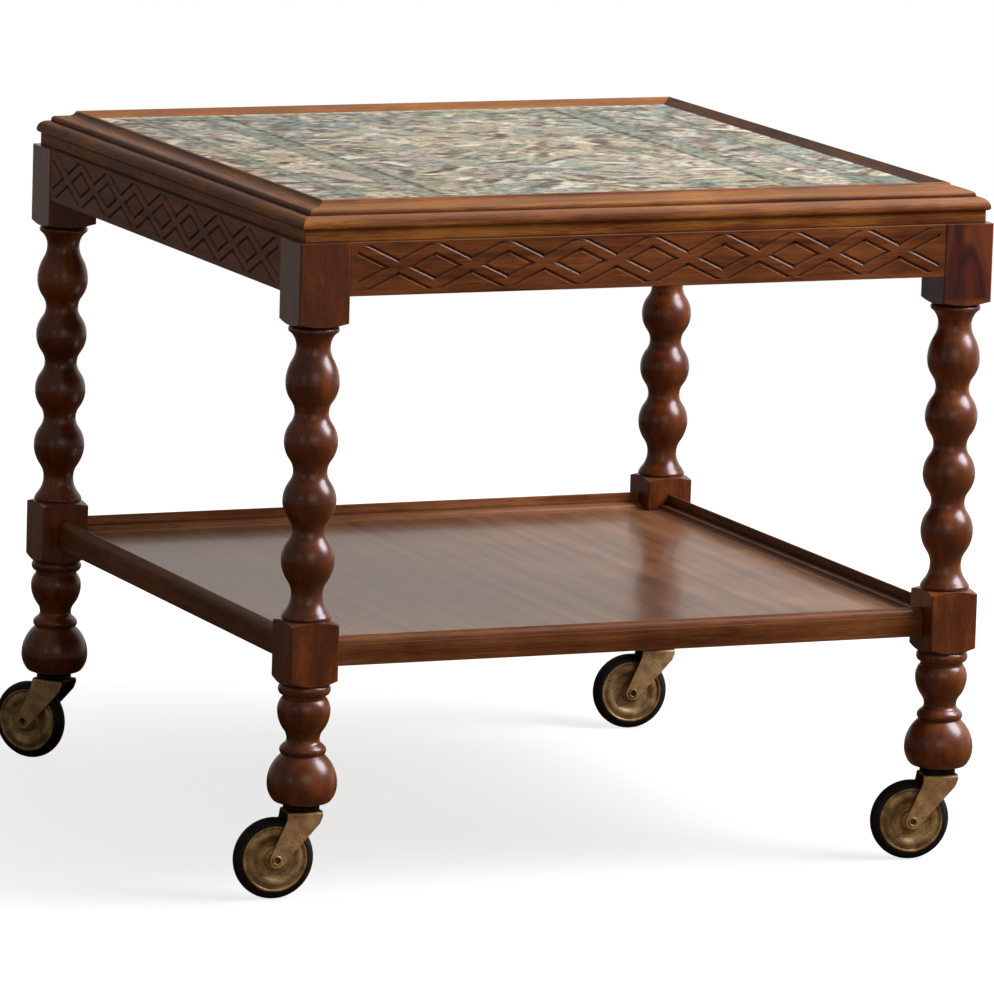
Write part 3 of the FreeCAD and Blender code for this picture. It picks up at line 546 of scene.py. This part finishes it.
def makeTapestry():
    low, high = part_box("woven_panel")
    side = high.x - low.x
    count = round(side / (tapestry["stitch"] * mm))
    middle = (low + high) / 2
    bpy.ops.object.select_all(action="DESELECT")
    bpy.ops.mesh.primitive_grid_add(x_subdivisions=count, y_subdivisions=count, size=side,
                                    location=(middle.x, middle.y, high.z))
    cloth = bpy.context.object
    cloth.name = "tapestry"
    # the edge turns down to the board, and a plain face closes the back
    bpy.ops.object.mode_set(mode="EDIT")
    bpy.ops.mesh.select_all(action="SELECT")
    bpy.ops.mesh.region_to_loop()
    bpy.ops.mesh.extrude_edges_move(TRANSFORM_OT_translate={"value": (0, 0, low.z - high.z)})
    bpy.ops.mesh.edge_face_add()
    bpy.ops.object.mode_set(mode="OBJECT")
    bpy.ops.object.transform_apply(location=True, rotation=True, scale=True)

    mesh = cloth.data
    place = np.empty(len(mesh.vertices) * 3, np.float32)
    mesh.vertices.foreach_get("co", place)
    place = place.reshape(-1, 3)
    reach = side / 2 / mm
    line = np.linspace(-reach, reach, count + 1)
    x, y = np.meshgrid(line, line, indexing="ij")
    painted = paintTapestry(np.zeros((count + 1, count + 1, 3)), x, y, reach)
    column = np.clip(np.rint((place[:, 0] - low.x) / side * count), 0, count).astype(int)
    row = np.clip(np.rint((place[:, 1] - low.y) / side * count), 0, count).astype(int)
    colours = np.ones((len(place), 4), np.float32)
    colours[:, :3] = painted[column, row]
    wool = mesh.color_attributes.new(name="woolColour", type="FLOAT_COLOR", domain="POINT")
    wool.data.foreach_set("color", colours.ravel())
    return cloth


def makeWool():
    # wool rep: soft and matt, with a rib for each pass of the weft
    material, tree = newMaterial("woven wool")
    place = addNode(tree, "ShaderNodeTexCoord").outputs["Object"]
    painted = addNode(tree, "ShaderNodeAttribute", {"attribute_name": "woolColour"}).outputs[0]
    pitch = 2 * tapestry["stitch"] * mm      # a rib is drawn over two stitches
    ribs = addNode(tree, "ShaderNodeTexWave",
                   {"bands_direction": "Y", "Scale": 0.314 / pitch, "Distortion": 1.2,
                    "Detail": 1.0, "Detail Scale": 2.0}, {"Vector": place}).outputs["Fac"]
    fuzz = addNode(tree, "ShaderNodeTexNoise",
                   {"Scale": 1 / (tapestry["fuzzSize"] * mm), "Detail": 2.0},
                   {"Vector": place}).outputs["Fac"]
    shade = addNode(tree, "ShaderNodeMapRange", {"To Min": 0.74, "To Max": 1.12},
                    {"Value": ribs}).outputs["Result"]
    spun = addNode(tree, "ShaderNodeMapRange",
                   {"From Min": 0.3, "From Max": 0.7, "To Min": 0.8, "To Max": 1.15},
                   {"Value": fuzz}).outputs["Result"]
    both = addNode(tree, "ShaderNodeMath", {"operation": "MULTIPLY"}, {0: shade, 1: spun})
    colour = addNode(tree, "ShaderNodeVectorMath", {"operation": "SCALE"},
                     {0: painted, "Scale": both.outputs[0]}).outputs[0]
    relief = addNode(tree, "ShaderNodeMath", {"operation": "ADD"}, {0: ribs, 1: fuzz}).outputs[0]
    bump = addNode(tree, "ShaderNodeBump",
                   {"Strength": 0.6, "Distance": tapestry["relief"] * mm},
                   {"Height": relief}).outputs["Normal"]
    shader = addNode(tree, "ShaderNodeBsdfPrincipled",
                     {"Roughness": 0.92, "Sheen Weight": 0.06, "Specular IOR Level": 0.1},
                     {"Base Color": colour, "Normal": bump})
    addNode(tree, "ShaderNodeOutputMaterial", links={"Surface": shader.outputs[0]})
    return material


cloth = makeTapestry()
cloth.data.materials.append(makeWool())
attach(cloth, "table")
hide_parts("woven_panel")
print("tapestry woven:", len(cloth.data.polygons), "faces")


# Floor, light and camera

studio = {
    "floorSize": 3.6,         # m across
    "floorTone": "#969696",   # pale grey, which the camera sees as white outside the shadows
    "bounceTone": "#6a5843",  # the warm light that comes back up from it
    "floorGlow": 0.78,        # added for the camera under the table, and 1 further out
    "glowFrom": 0.3,          # m from the middle of the table
    "glowTo": 1.3,
    "backdropAzimuth": 48.0,  # degrees from +X, the middle of the bright side of the room
    "backdropLight": 0.66,
    "roomLight": 0.18,
    "roomTone": "#fff4ec",    # its warm light, on all but what the camera sees straight
    "fill": 0.15,             # the even light on the object from all round
}


def makeFloor():
    bpy.ops.object.select_all(action="DESELECT")
    bpy.ops.mesh.primitive_plane_add(size=studio["floorSize"], location=planMiddle)
    floor = bpy.context.object
    floor.name = "studioFloor"
    bpy.ops.object.transform_apply(location=True, rotation=True, scale=True)
    material, tree = newMaterial("pale floor")
    rays = addNode(tree, "ShaderNodeLightPath")
    matt = addNode(tree, "ShaderNodeBsdfDiffuse", {"Color": hexColour(studio["floorTone"])})
    bounce = addNode(tree, "ShaderNodeBsdfDiffuse", {"Color": hexColour(studio["bounceTone"])})
    # away from the table the floor runs into the white of the backdrop
    place = addNode(tree, "ShaderNodeTexCoord").outputs["Object"]
    away = addNode(tree, "ShaderNodeVectorMath", {"operation": "DISTANCE", 1: planMiddle},
                   {0: place}).outputs["Value"]
    light = addNode(tree, "ShaderNodeMapRange",
                    {"interpolation_type": "SMOOTHSTEP", "From Min": studio["glowFrom"],
                     "From Max": studio["glowTo"], "To Min": studio["floorGlow"],
                     "To Max": 1.0},
                    {"Value": away}).outputs["Result"]
    glow = addNode(tree, "ShaderNodeEmission", links={"Strength": light})
    seen = addNode(tree, "ShaderNodeAddShader", links={0: matt.outputs[0], 1: glow.outputs[0]})
    mixed = addNode(tree, "ShaderNodeMixShader",
                    links={0: rays.outputs["Is Camera Ray"], 1: bounce.outputs[0],
                           2: seen.outputs[0]})
    addNode(tree, "ShaderNodeOutputMaterial", links={"Surface": mixed.outputs[0]})
    floor.data.materials.append(material)


def makeWorld():
    # white to the camera; reflections see the pale backdrop behind the table's right side,
    # which fades into a dim room on the left and in front
    world = bpy.data.worlds.new("studio")
    bpy.context.scene.world = world
    world.use_nodes = True
    tree = world.node_tree
    tree.nodes.clear()
    rays = addNode(tree, "ShaderNodeLightPath")
    azimuth = math.radians(studio["backdropAzimuth"])
    direction = addNode(tree, "ShaderNodeTexCoord").outputs["Generated"]
    facing = addNode(tree, "ShaderNodeVectorMath",
                     {"operation": "DOT_PRODUCT", 1: (math.cos(azimuth), math.sin(azimuth), 0.1)},
                     {0: direction}).outputs["Value"]
    room = addNode(tree, "ShaderNodeMapRange",
                   {"interpolation_type": "SMOOTHSTEP", "From Min": 0.35, "From Max": 0.95,
                    "To Min": studio["roomLight"], "To Max": studio["backdropLight"]},
                   {"Value": facing}).outputs["Result"]
    glossy = addNode(tree, "ShaderNodeMath", {"operation": "MAXIMUM"},
                     {0: rays.outputs["Is Glossy Ray"],
                      1: rays.outputs["Is Transmission Ray"]}).outputs[0]
    strength = addNode(tree, "ShaderNodeMix", {"data_type": "FLOAT", 2: studio["fill"]},
                       {0: glossy, 3: room}).outputs[0]
    seen = addNode(tree, "ShaderNodeMix", {"data_type": "FLOAT", 3: 1.0},
                   {0: rays.outputs["Is Camera Ray"], 2: strength}).outputs[0]
    tint = addNode(tree, "ShaderNodeMix",
                   {"data_type": "RGBA", 6: hexColour(studio["roomTone"]), 7: (1, 1, 1, 1)},
                   {0: rays.outputs["Is Camera Ray"]}).outputs[2]
    back = addNode(tree, "ShaderNodeBackground", links={"Color": tint, "Strength": seen})
    addNode(tree, "ShaderNodeOutputWorld", links={"Surface": back.outputs[0]})


aimHeight = 0.3     # m, what the lamps point at, over the middle of the table's plan
# azimuth in degrees from +X, elevation, distance in m, size in m, power in W, colour
lamps = {
    "windowRight": (-27, 38, 2.6, (1.5, 1.7), 90, "#f8f3ff"),
    "skyAbove": (15, 72, 2.8, (1.9, 1.9), 12, "#ffffff"),
    "roomFront": (-100, 14, 3.4, (2.2, 1.2), 7, "#ffeedd"),
    "farWindow": (-149, 10, 3.6, (0.2, 0.2), 1.0, "#ffffff"),
}


def addLamp(name, azimuth, elevation, distance, size, power, colour):
    target = planMiddle + Vector((0, 0, aimHeight))
    a, e = math.radians(azimuth), math.radians(elevation)
    away = Vector((math.cos(a) * math.cos(e), math.sin(a) * math.cos(e), math.sin(e)))
    data = bpy.data.lights.new(name, "AREA")
    data.shape = "ELLIPSE"
    data.size, data.size_y = size
    data.energy = power
    data.color = hexColour(colour)[:3]
    lamp = bpy.data.objects.new(name, data)
    bpy.context.scene.collection.objects.link(lamp)
    lamp.location = target + away * distance
    lamp.rotation_euler = (-away).to_track_quat("-Z", "Y").to_euler()


makeFloor()
makeWorld()
for name, values in lamps.items():
    addLamp(name, *values)

cameraView = {
    "place": (-2.9514, -6.7767, 1.5414),       # from the middle of the table's plan, metres
    "turn": (80.2377, -1.7214, -23.2593),      # degrees
    "lens": 318.33,
    "sensor": 36,
    "farthest": 60,                            # metres
}
cameraData = bpy.data.cameras.new("camera")
cameraData.lens = cameraView["lens"]
cameraData.sensor_width = cameraView["sensor"]
cameraData.clip_end = cameraView["farthest"]
camera = bpy.data.objects.new("camera", cameraData)
bpy.context.scene.collection.objects.link(camera)
camera.location = planMiddle + Vector(cameraView["place"])
camera.rotation_euler = [math.radians(v) for v in cameraView["turn"]]
bpy.context.scene.camera = camera
bpy.context.scene.view_settings.view_transform = "Standard"
print("floor, light and camera done")
